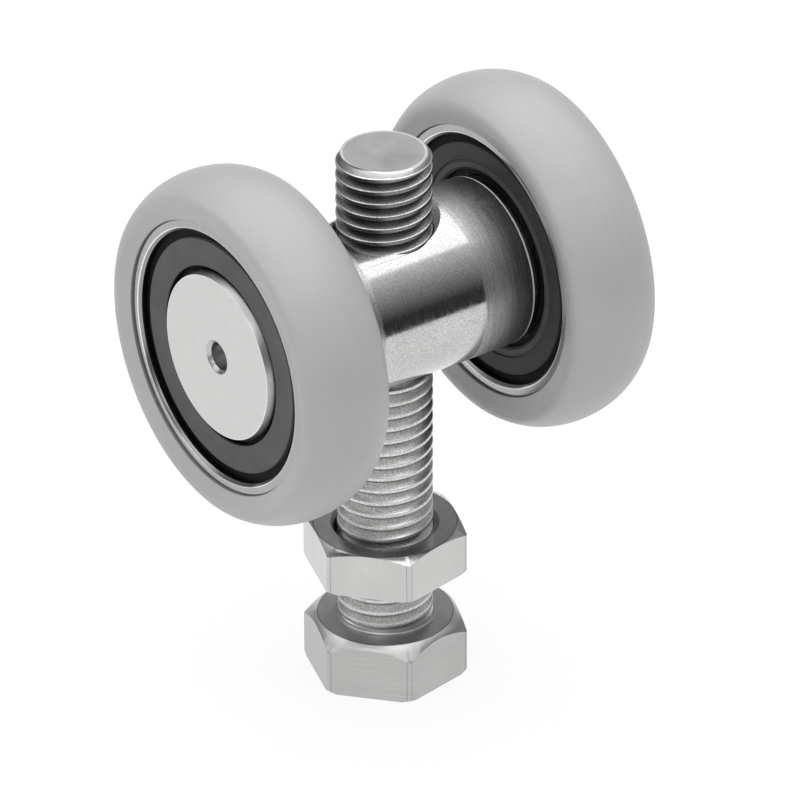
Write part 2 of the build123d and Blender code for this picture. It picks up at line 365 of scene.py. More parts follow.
class Nodes:
    """Writes the node tree of one material."""

    def __init__(self, name: str) -> None:
        """Starts a material with an empty tree, a shader and its output."""
        self.material = bpy.data.materials.new(name)
        self.material.use_nodes = True
        self.tree = self.material.node_tree
        self.tree.nodes.clear()
        output = self.tree.nodes.new("ShaderNodeOutputMaterial")
        self.shader = self.tree.nodes.new("ShaderNodeBsdfPrincipled")
        self.tree.links.new(self.shader.outputs[0], output.inputs["Surface"])
        self.place = self.tree.nodes.new("ShaderNodeTexCoord").outputs["Object"]

    def plug(self, socket: Socket, value: object) -> None:
        """Links a socket to another, or sets its value."""
        if isinstance(value, Socket):
            self.tree.links.new(value, socket)
        else:
            socket.default_value = value

    def shade(self, name: str, value: object) -> None:
        """Links one of the shader's own sockets, or sets its value."""
        self.plug(self.shader.inputs[name], value)

    def math(self, operation: str, first: object, second: object = 0.0) -> Socket:
        """Adds a Math node and returns its result."""
        node = self.tree.nodes.new("ShaderNodeMath")
        node.operation = operation
        self.plug(node.inputs[0], first)
        self.plug(node.inputs[1], second)
        return node.outputs[0]

    def times(self, first: object, second: object) -> Socket:
        """Multiplies two values."""
        return self.math("MULTIPLY", first, second)

    def scaled(self, scale: Place) -> Socket:
        """Object coordinates, stretched along each axis."""
        node = self.tree.nodes.new("ShaderNodeMapping")
        self.plug(node.inputs["Vector"], self.place)
        node.inputs["Scale"].default_value = scale
        return node.outputs[0]

    def noise(self, vector: Socket, scale: float, detail: float = 2.0) -> Socket:
        """Adds a noise pattern and returns its value.

        Args:
            vector: coordinates of the pattern.
            scale: number of features for each unit of the coordinates.
            detail: number of finer layers.

        Returns:
            The pattern, from 0 to 1.
        """
        node = self.tree.nodes.new("ShaderNodeTexNoise")
        self.plug(node.inputs["Vector"], vector)
        node.inputs["Scale"].default_value = scale
        node.inputs["Detail"].default_value = detail
        return node.outputs["Fac"]

    def spread(self, value: object, low: float, high: float, start: float = 0.0, end: float = 1.0) -> Socket:
        """Maps a value from start and end to low and high, and holds it there."""
        node = self.tree.nodes.new("ShaderNodeMapRange")
        for socket, number in zip(node.inputs[:5], (value, start, end, low, high)):
            self.plug(socket, number)
        return node.outputs[0]

    def vary(self, pattern: object, low: float, high: float) -> Socket:
        """Maps the middle range of a noise pattern to low and high."""
        return self.spread(pattern, low, high, 0.3, 0.7)

    def blend(self, share: object, first: object, second: object) -> Socket:
        """Mixes two colours by a share from 0 to 1."""
        node = self.tree.nodes.new("ShaderNodeMix")
        node.data_type = "RGBA"
        self.plug(node.inputs[0], share)
        self.plug(node.inputs[6], first)
        self.plug(node.inputs[7], second)
        return node.outputs[2]

    def measured(self, measure: Measure) -> Socket:
        """Distance that a measure gives at each point, in millimetres."""
        scale, shift = {
            Measure.HEIGHT: ((0.0, 0.0, 1.0), 0.0),
            Measure.AXLE_RADIUS: ((1.0, 0.0, 1.0), -AXLE_HEIGHT),
            Measure.BOLT_RADIUS: ((1.0, 1.0, 0.0), 0.0),
            Measure.FROM_MIDDLE: ((0.0, 1.0, 0.0), 0.0),
        }[measure]
        shifted = self.tree.nodes.new("ShaderNodeVectorMath")
        shifted.operation = "MULTIPLY_ADD"
        self.plug(shifted.inputs[0], self.place)
        shifted.inputs[1].default_value = [part / MM for part in scale]
        shifted.inputs[2].default_value = (0.0, 0.0, shift)
        length = self.tree.nodes.new("ShaderNodeVectorMath")
        length.operation = "LENGTH"
        self.plug(length.inputs[0], shifted.outputs[0])
        return length.outputs["Value"]

    def zoned(self, value: object, bands: tuple["Band", ...]) -> Socket:
        """Multiplies a value by each band's factor inside that band."""
        for band in bands:
            place = self.measured(band.measure)
            rise = self.spread(place, 0.0, 1.0, band.low - band.soft, band.low + band.soft)
            fall = self.spread(place, 1.0, 0.0, band.high - band.soft, band.high + band.soft)
            share = self.times(rise, fall)
            factor = self.math("ADD", self.times(share, band.factor - 1.0), 1.0)
            value = self.times(value, factor)
        return value

    def relief(self, height: object, depth: float, strength: float = 1.0, below: object = None) -> Socket:
        """Adds a bump of a given depth.

        Args:
            height: the pattern, from 0 to 1.
            depth: depth of the pattern in millimetres.
            strength: share of the bump that is used.
            below: normal of a coarser bump under this one.

        Returns:
            The bumped normal.
        """
        node = self.tree.nodes.new("ShaderNodeBump")
        node.inputs["Strength"].default_value = strength
        node.inputs["Distance"].default_value = depth * MM
        self.plug(node.inputs["Height"], height)
        if below is not None:
            self.plug(node.inputs["Normal"], below)
        return node.outputs[0]


@dataclass(frozen=True)
class Band:
    """Zone of a surface that is lighter or darker than the rest."""

    measure: Measure
    low: float
    high: float
    factor: float
    soft: float = 0.03


@dataclass(frozen=True)
class SteelFinish:
    """Bare or plated steel with its worked grain."""

    name: str
    tone: float
    tint: Place = (1.0, 0.995, 0.985)
    roughness: float = 0.2
    grain: Grain = Grain.BLASTED
    grain_depth: float = 0.004
    line_depth: float = 0.0
    unevenness: float = 0.05
    mottle: float = 0.1
    streaks: float = 0.0
    pitted_from: float = 1000.0
    pitted_to: float = 72.0
    brightest: float = 0.96
    bands: tuple[Band, ...] = ()

    def lines(self, nodes: Nodes) -> Socket:
        """Pattern of the tool's lines, which run the way the surface was worked."""
        stretch = {
            Grain.BLASTED: (900.0, 900.0, 900.0),
            Grain.ROUND_AXLE: (120.0, 6500.0, 120.0),
            Grain.ROUND_BOLT: (120.0, 120.0, 6500.0),
            Grain.UPRIGHT: (2600.0, 2600.0, 160.0),
        }[self.grain]
        return nodes.noise(nodes.scaled(stretch), 1.0, 3.0)

    def material(self) -> Material:
        """Builds the material.

        Returns:
            Steel whose tone, gloss and relief vary with grain, tool lines and handling, with bands that paint
            highlights and shade where a part has them.
        """
        nodes = Nodes(self.name)
        lines = self.lines(nodes)
        specks = nodes.noise(nodes.place, 6200.0, 1.5)
        handling = nodes.noise(nodes.place, 180.0, 3.0)
        low, high = self.tone * (1.0 - self.unevenness), self.tone * (1.0 + self.unevenness)
        tone = nodes.vary(handling, low, high)
        tone = nodes.times(tone, nodes.vary(specks, 1.0 - self.mottle, 1.0 + self.mottle))
        tone = nodes.times(tone, nodes.vary(lines, 1.0 - self.streaks, 1.0 + self.streaks))
        height = nodes.measured(Measure.HEIGHT)
        pitted = nodes.spread(height, 0.0, 1.0, self.pitted_from, self.pitted_from + 0.5)
        pitted = nodes.times(pitted, nodes.spread(height, 1.0, 0.0, self.pitted_to, self.pitted_to + 0.3))
        pitted = nodes.times(pitted, nodes.spread(specks, 0.4, 0.0, 0.35, 0.6))
        tone = nodes.times(tone, nodes.math("SUBTRACT", 1.0, pitted))
        # Bands lighten or darken zones; several of them are painted highlights and painted shade.
        tone = nodes.math("MINIMUM", nodes.zoned(tone, self.bands), self.brightest)
        colour = nodes.blend(tone, BLACK, toned(self.tint, 1.0))
        nodes.shade("Base Color", colour)
        nodes.shade("Metallic", 1.0)
        rough = nodes.math("ADD", nodes.vary(lines, -0.04, 0.05), self.roughness)
        rough = nodes.math("ADD", nodes.vary(handling, -0.03, 0.04), rough)
        nodes.shade("Roughness", rough)
        normal = nodes.relief(specks, self.grain_depth, 0.6)
        if self.line_depth > 0:
            normal = nodes.relief(lines, self.line_depth, 0.6, normal)
        nodes.shade("Normal", normal)
        return nodes.material


@dataclass(frozen=True)
class AxleFinish:
    """Ground steel round the cross hole, with turned shoulders towards the wheels."""

    name: str
    tone: float = 0.555
    roughness: float = 0.13
    shoulder_roughness: float = 0.36
    ground_half: float = 7.6
    mottle: float = 0.22
    grain_depth: float = 0.0045
    turning_depth: float = 0.005
    # Painted shade darkens the turned shoulders between these distances, towards the wheels.
    end_shade_from: float = 11.2
    end_shade_to: float = 15.0
    end_shade_factor: float = 0.5
    # Painted highlight: a thin white line along the end edges of the bar.
    rim_along: float = 14.6
    rim_radius: float = 10.42
    rim_soft: float = 0.04
    rim_highlight_colour: Place = (0.97, 0.97, 0.97)
    brightest: float = 0.96

    def material(self) -> Material:
        """Builds the material.

        Returns:
            Steel with a fine ground grain in its middle and turning lines at both ends, with painted shade
            towards the wheels and a painted highlight along its end edges.
        """
        nodes = Nodes(self.name)
        away = nodes.measured(Measure.FROM_MIDDLE)
        shoulder = nodes.spread(away, 0.0, 1.0, self.ground_half - 0.15, self.ground_half + 0.15)
        end = nodes.spread(away, 0.0, 1.0, self.end_shade_from, self.end_shade_to)
        specks = nodes.noise(nodes.place, 5600.0, 2.0)
        handling = nodes.noise(nodes.place, 150.0, 3.0)
        turning = nodes.noise(nodes.scaled((140.0, 5200.0, 140.0)), 1.0, 4.0)
        scratches = nodes.noise(nodes.scaled((700.0, 2600.0, 700.0)), 1.0, 2.0)
        low, high = self.tone * (1.0 - self.mottle), self.tone * (1.0 + self.mottle)
        tone = nodes.spread(specks, low, high, 0.32, 0.68)
        tone = nodes.times(tone, nodes.vary(handling, 0.95, 1.05))
        # Turning marks on the shoulders, darkened by painted shade towards the wheels.
        turned = nodes.times(nodes.vary(turning, 0.8, 1.15), nodes.spread(end, 1.0, self.end_shade_factor))
        tone = nodes.times(tone, nodes.spread(shoulder, 1.0, turned))
        radius = nodes.measured(Measure.AXLE_RADIUS)
        # Painted highlight: the end edges turn white and nearly non-metallic.
        outward = nodes.spread(away, 0.0, 1.0, self.rim_along, self.rim_along + self.rim_soft)
        upward = nodes.spread(radius, 0.0, 1.0, self.rim_radius, self.rim_radius + self.rim_soft)
        rim = nodes.times(outward, upward)
        steel = nodes.blend(nodes.math("MINIMUM", tone, self.brightest), BLACK, (1.0, 0.996, 0.988, 1.0))
        nodes.shade("Base Color", nodes.blend(rim, steel, toned(self.rim_highlight_colour, 1.0)))
        nodes.shade("Metallic", nodes.spread(rim, 1.0, 0.05))
        rough = nodes.spread(shoulder, self.roughness, self.shoulder_roughness)
        rough = nodes.math("ADD", rough, nodes.vary(scratches, -0.04, 0.06))
        nodes.shade("Roughness", rough)
        normal = nodes.relief(specks, self.grain_depth, 0.6)
        lines = nodes.times(turning, shoulder)
        normal = nodes.relief(lines, self.turning_depth, 0.8, normal)
        nodes.shade("Normal", normal)
        return nodes.material


@dataclass(frozen=True)
class NylonFinish:
    """Moulded nylon with a soft, slightly uneven skin."""

    name: str
    colour: Place = (0.47, 0.475, 0.473)
    roughness: float = 0.42
    seam: float = 17.53
    tread_from: float = 21.6
    tread_to: float = 22.3

    def material(self) -> Material:
        """Builds the material.

        Returns:
            Pale grey nylon with flow clouding, a fine moulded texture and faint running marks on the tread.
        """
        nodes = Nodes(self.name)
        clouds = nodes.noise(nodes.place, 70.0, 3.0)
        skin = nodes.noise(nodes.place, 3200.0, 2.0)
        running = nodes.noise(nodes.scaled((40.0, 1500.0, 40.0)), 1.0, 3.0)
        radius = nodes.measured(Measure.AXLE_RADIUS)
        tread = nodes.spread(radius, 0.0, 1.0, self.tread_from, self.tread_to)
        cloudy = nodes.vary(clouds, 0.0, 1.0)
        colour = nodes.blend(cloudy, toned(self.colour, 0.96), toned(self.colour, 1.03))
        worn = nodes.times(tread, nodes.spread(running, 0.0, 0.2, 0.5, 0.75))
        colour = nodes.blend(worn, colour, toned(self.colour, 0.84))
        seam = nodes.spread(radius, 0.6, 0.0, self.seam, self.seam + 0.07)
        nodes.shade("Base Color", nodes.blend(seam, colour, (0.05, 0.05, 0.05, 1.0)))
        rough = nodes.math("ADD", nodes.vary(skin, -0.04, 0.05), self.roughness)
        nodes.shade("Roughness", rough)
        nodes.shade("IOR", 1.53)
        normal = nodes.relief(skin, 0.003, 0.5)
        nodes.shade("Normal", nodes.relief(clouds, 0.02, 0.3, normal))
        return nodes.material


@dataclass(frozen=True)
class RubberFinish:
    """Dark sealing rubber, with painted black shade at its two edges beside the grooves, painted shade on the
    inner seals and painted light on their lip fold.
    """

    name: str
    colour: Place = (0.1, 0.1, 0.1)
    # Painted black shade for the rim and the lip beside the grooves.
    groove_shade: Place = (0.004, 0.004, 0.004)
    roughness: float = 0.5
    # Share of painted shade on the inner seals, which face between the wheels.
    inward: float = 0.37
    inner_side: float = 19.0
    lip: float = 11.46
    rim: float = 15.06
    fold: Point = (11.7, 12.54)
    fold_soft: float = 0.06
    # Painted light on the inner seals' lip fold.
    fold_light_colour: Place = (0.075, 0.075, 0.075)

    def material(self) -> Material:
        """Builds the material.

        Returns:
            Rubber with a fine moulded grain, painted black shade on its rim and lip, painted shade on the
            inner seals and painted light on their lip fold.
        """
        nodes = Nodes(self.name)
        radius = nodes.measured(Measure.AXLE_RADIUS)
        away = nodes.measured(Measure.FROM_MIDDLE)
        inner_side = nodes.spread(away, 1.0, 0.0, self.inner_side, self.inner_side + 1.0)
        skin = nodes.noise(nodes.place, 4200.0, 2.0)
        clouds = nodes.noise(nodes.place, 260.0, 2.0)
        # Painted shade: the rim and the lip, beside the grooves, turn nearly black and rougher.
        outer = nodes.spread(radius, 0.0, 1.0, self.rim - 0.06, self.rim + 0.02)
        inner = nodes.spread(radius, 1.0, 0.0, self.lip - 0.05, self.lip + 0.03)
        groove_shade_share = nodes.math("MAXIMUM", outer, inner)
        dark, light = toned(self.colour, 0.86), toned(self.colour, 1.12)
        share = nodes.spread(nodes.math("ADD", clouds, nodes.times(skin, 0.4)), 0.0, 1.0, 0.45, 0.95)
        # Painted shade darkens the inner seals.
        shaded = nodes.times(inner_side, 1.0 - self.inward)
        rubber = nodes.blend(shaded, nodes.blend(share, dark, light), (0.01, 0.008, 0.008, 1.0))
        # Painted light lifts the lip fold on the inner seals out of their painted shade.
        start, end = self.fold
        fold = nodes.spread(radius, 0.0, 1.0, start, start + self.fold_soft)
        fold = nodes.times(fold, nodes.spread(radius, 1.0, 0.0, end - 0.04, end))
        rubber = nodes.blend(nodes.times(fold, inner_side), rubber, toned(self.fold_light_colour, 1.0))
        colour = nodes.blend(groove_shade_share, rubber, toned(self.groove_shade, 1.0))
        nodes.shade("Base Color", colour)
        rough = nodes.math("ADD", nodes.vary(skin, -0.05, 0.06), self.roughness)
        nodes.shade("Roughness", nodes.math("ADD", rough, nodes.spread(groove_shade_share, 0.0, 0.2)))
        nodes.shade("IOR", 1.5)
        nodes.shade("Specular IOR Level", 0.22)
        nodes.shade("Normal", nodes.relief(skin, 0.003, 0.5))
        return nodes.material


@dataclass
class DressedPart:
    """A sub-assembly with its finished pieces."""

    pieces: list[Piece] = field(default_factory=list)

    def dress(
        self, piece: Piece, material: Material, body: str, slot: str, *nodes: str
    ) -> None:
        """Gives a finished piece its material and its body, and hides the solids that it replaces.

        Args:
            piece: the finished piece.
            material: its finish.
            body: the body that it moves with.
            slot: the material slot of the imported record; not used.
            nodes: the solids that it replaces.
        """
        piece.data.materials.clear()
        piece.data.materials.append(material)
        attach(piece, body)
        if nodes:
            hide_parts(*nodes)
        self.pieces.append(piece)
        log.info("%s: %d faces on %s", piece.name, len(piece.data.polygons), body)

    def coat(self, material: Material, *nodes: str) -> None:
        """Gives carried-over solids a finish."""
        for node in nodes:
            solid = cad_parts[node]
            solid.data.materials.clear()
            solid.data.materials.append(material)
            log.info("%s: solid kept", node)


@dataclass
class Hexagon:
    """Hexagonal prism with its corners rounded off at both faces."""

    slope: float
    face_inset: float
    flats: float = 18.0
    turn: float = 41.0
    foot_cut: float = 0.5
    edge: float = 0.35
    spare: float = 1.0
    clearance: float = 0.3

    def build(self, name: str, bottom: float, top: float, shank: tuple[Point, ...] = ()) -> Piece:
        """Builds the prism.

        Args:
            name: name of the new object.
            bottom: height of its lower face in millimetres.
            top: height of its upper face in millimetres.
            shank: section of a round shank on the upper face, as height and radius, down to radius 0.

        Returns:
            The closed solid.
        """
        upper = shank or ((top, 0.0),)
        low_end, high_end = bottom - self.spare, upper[-1][0] + self.spare
        corner = self.flats / 2 / math.cos(math.radians(30))
        reach = corner + self.clearance
        rise = math.tan(math.radians(self.slope))
        low, high = corner - self.foot_cut, self.flats / 2 - self.face_inset
        Bench.clear()
        bpy.ops.mesh.primitive_cylinder_add(
            vertices=6,
            radius=corner * MM,
            depth=(high_end - low_end) * MM,
            location=(0.0, 0.0, (high_end + low_end) / 2 * MM),
            rotation=(0.0, 0.0, math.radians(self.turn - 30)),
        )
        prism = Bench.named(name)
        bpy.ops.object.transform_apply(location=True, rotation=True, scale=True)
        bpy.ops.object.mode_set(mode="EDIT")
        bpy.ops.mesh.select_mode(type="EDGE")
        bpy.ops.mesh.select_all(action="DESELECT")
        Bench.leave()
        for edge in prism.data.edges:
            first, last = (prism.data.vertices[index].co for index in edge.vertices)
            edge.select = abs(first.z - last.z) > MM
        bpy.ops.object.mode_set(mode="EDIT")
        bpy.ops.mesh.bevel(offset=self.edge * MM, offset_type="WIDTH", segments=4, affect="EDGES")
        bpy.ops.mesh.select_mode(type="VERT")
        Bench.leave()
        section = [
            (bottom, 0.0),
            (bottom, low),
            (bottom + (reach - low) * rise, reach),
            (top - (reach - high) * rise, reach),
            (top, high),
            *upper,
        ]
        envelope = Bench.turned(f"{name}_envelope", section, Axis.ALONG_BOLT, steps=ROUND_STEPS, closed=False)
        Bench.combine(prism, envelope, "INTERSECT")
        return prism


@dataclass
class HangerBolt(DressedPart):
    """Hexagon-head bolt with a right-hand thread along its whole shank."""

    head_height: float = 7.5
    top: float = 72.5
    crest: float = 5.92
    root: float = 4.847
    pitch: float = 1.75
    crest_flat: float = 0.42
    easing: float = 0.07
    point_chamfer: float = 0.62
    underhead: float = 0.35
    neck_end: float = 8.0
    thread_start: float = 8.15
    spare: float = 1.5
    overshoot: float = 0.6
    margin: float = 0.03
    thread_steps: int = 60
    turns: int = 39
    spare_turns: int = 2

    def thread(self) -> Piece:
        """Winds the thread from one turn of its section.

        Returns:
            A closed threaded rod that is cut square at both ends.
        """
        flat, pitch = self.crest_flat / 2, self.pitch
        corners = [
            (0.0, self.crest, 0.0),
            (flat, self.crest, self.easing),
            (pitch / 2, self.root, self.easing),
            (pitch - flat, self.crest, self.easing),
            (pitch, self.crest, 0.0),
        ]
        section = eased(corners, closed=False)
        foot = self.top - self.point_chamfer - self.turns * pitch
        points = [Vector((radius * MM, 0.0, (foot + along) * MM)) for along, radius in section]
        rod = Bench.line("hanger_bolt_dressed", points)
        Bench.modify(
            rod,
            "SCREW",
            steps=self.thread_steps,
            render_steps=self.thread_steps,
            iterations=self.turns + self.spare_turns,
            screw_offset=pitch * MM,
            use_merge_vertices=True,
            merge_threshold=WELD / 10,
        )
        Bench.edit()
        bpy.ops.mesh.remove_doubles(threshold=WELD)
        self.cut(self.top + self.overshoot, 1.0, True)
        self.cut(self.neck_end - self.spare, -1.0, True)
        Bench.close_up()
        return rod

    @staticmethod
    def cut(height: float, way: float, filled: bool) -> None:
        """Cuts the mesh in edit mode level at a height.

        Args:
            height: height of the cut in millimetres.
            way: 1 to clear what is above it and -1 to clear what is below it.
            filled: whether the cut is closed with a face.
        """
        bpy.ops.mesh.select_all(action="SELECT")
        bpy.ops.mesh.bisect(
            plane_co=(0.0, 0.0, height * MM),
            plane_no=(0.0, 0.0, way),
            use_fill=filled,
            clear_outer=True,
            threshold=1e-8,
        )

    def point_envelope(self) -> Piece:
        """Solid that bounds the thread, with a chamfer at the point."""
        clear = self.crest + self.margin
        foot = self.neck_end - 2 * self.spare
        section = [
            (foot, 0.0),
            (foot, clear),
            (self.top - self.point_chamfer - self.margin, clear),
            (self.top, self.crest - self.point_chamfer),
            (self.top, 0.0),
        ]
        return Bench.turned("point_envelope", section, Axis.ALONG_BOLT, steps=ROUND_STEPS, closed=False)

    def neck(self) -> tuple[Point, ...]:
        """Section of the plain neck above the head, with the fillet under the bearing face."""
        start = (self.head_height, self.crest + self.underhead)
        centre = (self.head_height + self.underhead, self.crest + self.underhead)
        end = self.neck_end + self.spare
        return (start, *arc_points(centre, start, math.pi / 2, 6), (end, self.crest), (end, 0.0))

    def build(self) -> Piece:
        """Builds the whole bolt as one solid."""
        rod = self.thread()
        Bench.combine(rod, self.point_envelope(), "INTERSECT")
        head = Hexagon(slope=42.0, face_inset=0.6).build("bolt_head", 0.0, self.head_height, self.neck())
        Bench.soften(head, SOFT_EDGE, SOFT_FROM)
        for piece, height, way in ((rod, self.thread_start, -1.0), (head, self.neck_end, 1.0)):
            Bench.pick(piece)
            bpy.ops.object.mode_set(mode="EDIT")
            self.cut(height, way, False)
        Bench.pick(head)
        rod.select_set(True)
        bpy.context.view_layer.objects.active = rod
        bpy.ops.object.join()
        bpy.ops.object.mode_set(mode="EDIT")
        bpy.ops.mesh.select_mode(type="EDGE")
        bpy.ops.mesh.select_all(action="DESELECT")
        bpy.ops.mesh.select_non_manifold(
            use_wire=False, use_multi_face=False, use_non_contiguous=False, use_verts=False
        )
        bpy.ops.mesh.bridge_edge_loops()
        bpy.ops.mesh.select_mode(type="VERT")
        Bench.close_up()
        Bench.smooth(rod, THREAD_SMOOTH_UP_TO)
        return rod


@dataclass
class LockNut(DressedPart):
    """Thin hexagon nut with a countersink at each mouth of its hole."""

    bottom: float = 14.4
    top: float = 20.4
    bore: float = 6.0
    countersink: float = 0.75
    drop: float = 0.525

    def build(self) -> Piece:
        """Builds the nut."""
        nut = Hexagon(slope=27.0, face_inset=0.1).build("lock_nut_dressed", self.bottom, self.top)
        drill = Bench.drill(self.bottom, self.top, self.bore, self.countersink, self.drop, past=1.0)
        Bench.combine(nut, drill, "DIFFERENCE")
        Bench.soften(nut, SOFT_EDGE, SOFT_FROM)
        Bench.smooth(nut)
        return nut


@dataclass
class AxleBody(DressedPart):
    """Turned cross bar with a bearing seat at each end and a cross hole for the bolt."""

    half_length: float = 15.0
    surface: float = 10.8
    seat: float = 8.5
    journal_end: float = 23.902
    journal_bore: float = 15.502
    bore: float = 5.0
    hole: float = 6.0
    countersink: float = 1.4

    def build(self) -> Piece:
        """Builds the bar and cuts its cross hole."""
        half = [
            (self.half_length, self.surface, 0.28),
            (self.half_length, self.seat, 0.0),
            (self.journal_end, self.seat, 0.3),
            (self.journal_end, self.bore, 0.0),
            (self.journal_bore, self.bore, 0.0),
            (self.journal_bore, 0.0, 0.0),
        ]
        other_half = [(-along, radius, easing) for along, radius, easing in reversed(half)]
        section = eased(other_half + half, closed=False)
        bar = Bench.turned("axle_body_dressed", section, Axis.ALONG_AXLE, steps=WHEEL_STEPS, closed=False)
        bottom, top = AXLE_HEIGHT - self.surface, AXLE_HEIGHT + self.surface
        drill = Bench.drill(bottom, top, self.hole, self.countersink, self.countersink)
        Bench.combine(bar, drill, "DIFFERENCE")
        Bench.soften(bar, 0.1, 30.0)
        Bench.smooth(bar)
        return bar


@dataclass
class Tyre(DressedPart):
    """Moulded tyre with a rounded tread, a soft crease and a rib in the ring's key groove."""

    ring: float = 17.5
    seam: float = 5.451
    crease_along: float = 6.401
    crease_radius: float = 20.1
    crease_easing: float = 1.5
    crown_half: float = 2.6
    crown_edge: float = 22.2
    top: float = 22.5
    rib_half: float = 1.5
    rib_depth: float = 0.6
    seam_easing: float = 0.12

    def shoulder(self) -> list[Point]:
        """Half of the tyre's outside, from the middle of the tread to the seam.

        Returns:
            Points of the crown, the shoulder arc, the eased crease and the side.
        """
        rise = self.top - self.crown_edge
        crown = (self.crown_half**2 + rise**2) / (2 * rise)
        crown_centre = (0.0, self.top - crown)
        crown_turn = -math.asin(self.crown_half / crown)
        points = arc_points(crown_centre, (0.0, self.top), crown_turn, 6)
        edge = Vector((self.crown_half, self.crown_edge))
        inward = (Vector(crown_centre) - edge).normalized()
        crease = Vector((self.crease_along, self.crease_radius))
        span = crease - edge
        bend = span.length_squared / (2 * span.dot(inward))
        centre = edge + inward * bend
        side = (Vector((self.seam, self.ring)) - crease).normalized()
        into = Vector((side.y, -side.x))
        offset = crease + into * self.crease_easing - centre
        along = offset.dot(side)
        reach = -along - math.sqrt(along**2 - offset.length_squared + (bend - self.crease_easing) ** 2)
        fillet_centre = crease + into * self.crease_easing + side * reach
        start = centre + (fillet_centre - centre).normalized() * bend
        turn = -(start - centre).angle(edge - centre)
        points += arc_points(centre, edge, turn, 12)
        finish = crease + side * reach
        fillet_turn = -(start - fillet_centre).angle(finish - fillet_centre)
        points += arc_points(fillet_centre, start, fillet_turn, 8)
        return points

    def build(self, name: str, middle: float) -> Piece:
        """Builds one tyre.

        Args:
            name: name of the new object.
            middle: place of the wheel's middle plane along the axle, in millimetres.

        Returns:
            The closed solid.
        """
        outside = self.shoulder()
        foot = [
            (*outside[-1], 0.0),
            (self.seam, self.ring, self.seam_easing),
            (self.rib_half, self.ring, 0.0),
            (self.rib_half, self.ring - self.rib_depth, 0.0),
        ]
        half = outside[:-1] + eased(foot, closed=False)
        section = [(0.0, self.top)] + half + mirrored(half)
        tyre = Bench.turned(name, section, Axis.ALONG_AXLE, middle)
        Bench.smooth(tyre)
        return tyre


@dataclass
class Bearing(DressedPart):
    """Rings and seals that show on a wheel."""

    outer_land: float = 14.7
    raceway_edge: float = 1.726
    raceway: float = 15.401
    ring: float = 17.5
    ring_face: float = 5.201
    mouth: float = 16.1
    seal_seat: float = 16.35
    seal_back: float = 3.201
    seal_rim: float = 3.951
    seal_face: float = 4.451
    key_half: float = 1.5
    key_depth: float = 0.6
    lip_land: float = 10.63
    face_edge: float = 11.4

    def outer_ring(self, name: str, middle: float) -> Piece:
        """Builds the outer ring.

        Args:
            name: name of the new object.
            middle: place of the wheel's middle plane along the axle, in millimetres.

        Returns:
            The closed solid.
        """
        rise = self.raceway - self.outer_land
        bend = (self.raceway_edge**2 + rise**2) / (2 * rise)
        half_turn = math.asin(self.raceway_edge / bend)
        raceway = arc_points((0.0, self.raceway - bend), (0.0, self.raceway), -half_turn, 6)
        half = [
            (*raceway[-1], 0.0),
            (self.seal_back, self.outer_land, 0.0),
            (self.seal_back, self.seal_seat, 0.0),
            (self.seal_rim, self.seal_seat, 0.0),
            (self.seal_rim, self.mouth, 0.0),
            (self.ring_face - 0.4, self.mouth, 0.08),
            (self.ring_face, self.mouth + 0.4, 0.08),
            (self.ring_face, self.ring - 0.05, 0.12),
            (self.ring_face - 0.2, self.ring, 0.05),
            (self.key_half, self.ring, 0.0),
            (self.key_half, self.ring - self.key_depth, 0.0),
        ]
        side = raceway[:-1] + eased(half, steps=2, closed=False)
        section = [(0.0, self.raceway)] + side + mirrored(side)
        ring = Bench.turned(name, section, Axis.ALONG_AXLE, middle)
        Bench.smooth(ring)
        return ring

    def seal(self, name: str, middle: float, way: float, face: SealFace) -> Piece:
        """Builds one seal.

        Args:
            name: name of the new object.
            middle: place of the wheel's middle plane along the axle, in millimetres.
            way: 1 for a face towards positive Y and -1 for the other way.
            face: shape of the visible face.

        Returns:
            The closed solid.
        """
        rim_edge = self.seal_seat - 1.3
        back, front = self.seal_back, self.seal_face
        corners = [
            (back, self.lip_land, 0.0),
            (back, self.seal_seat, 0.0),
            (self.seal_rim, self.seal_seat, 0.0),
            (self.seal_rim, rim_edge, 0.08),
            (front, rim_edge - 0.1, 0.1),
        ]
        if face is SealFace.LIPPED:
            corners += [
                (front, 12.75, 0.05),
                (front - 0.18, 12.66, 0.05),
                (front - 0.18, 12.5, 0.05),
                (front - 0.02, 12.38, 0.06),
                (front - 0.08, 11.75, 0.1),
            ]
        corners += [
            (front - (0.3 if face is SealFace.LIPPED else 0.0), self.face_edge + 0.06, 0.1),
            (front - 0.35, self.face_edge, 0.05),
            (back + 0.4, self.face_edge, 0.0),
            (back + 0.4, self.lip_land, 0.0),
        ]
        section = [(way * along, radius) for along, radius in eased(corners)]
        seal = Bench.turned(name, section, Axis.ALONG_AXLE, middle)
        Bench.smooth(seal)
        return seal


@dataclass
class EndCap(DressedPart):
    """Round bevelled steel disc with a centre hole and a stem behind it."""

    face: float = 5.051
    face_radius: float = 10.5
    rim: float = 4.101
    seat: float = 4.001
    rim_radius: float = 10.9
    stem: float = 5.0
    stem_end: float = -3.999
    hole: float = 1.75
    hole_depth: float = 2.5
    countersink: float = 0.45

    def build(self, name: str, middle: float, way: float) -> Piece:
        """Builds one cap.

        Args:
            name: name of the new object.
            middle: place of the wheel's middle plane along the axle, in millimetres.
            way: 1 for the cap towards positive Y and -1 for the other one.

        Returns:
            The closed solid.
        """
        corners = [
            (self.stem_end, 0.0, 0.0),
            (self.stem_end, self.stem, 0.15),
            (self.seat, self.stem, 0.0),
            (self.seat, self.rim_radius, 0.05),
            (self.rim, self.rim_radius, 0.05),
            (self.face, self.face_radius, 0.09),
            (self.face, self.hole + self.countersink, 0.08),
            (self.face - self.countersink, self.hole, 0.05),
            (self.face - self.hole_depth, self.hole, 0.2),
            (self.face - self.hole_depth - 0.3, 0.0, 0.0),
        ]
        section = [(way * along, radius) for along, radius in eased(corners, closed=False)]
        cap = Bench.turned(name, section, Axis.ALONG_AXLE, middle, closed=False)
        Bench.smooth(cap)
        return cap


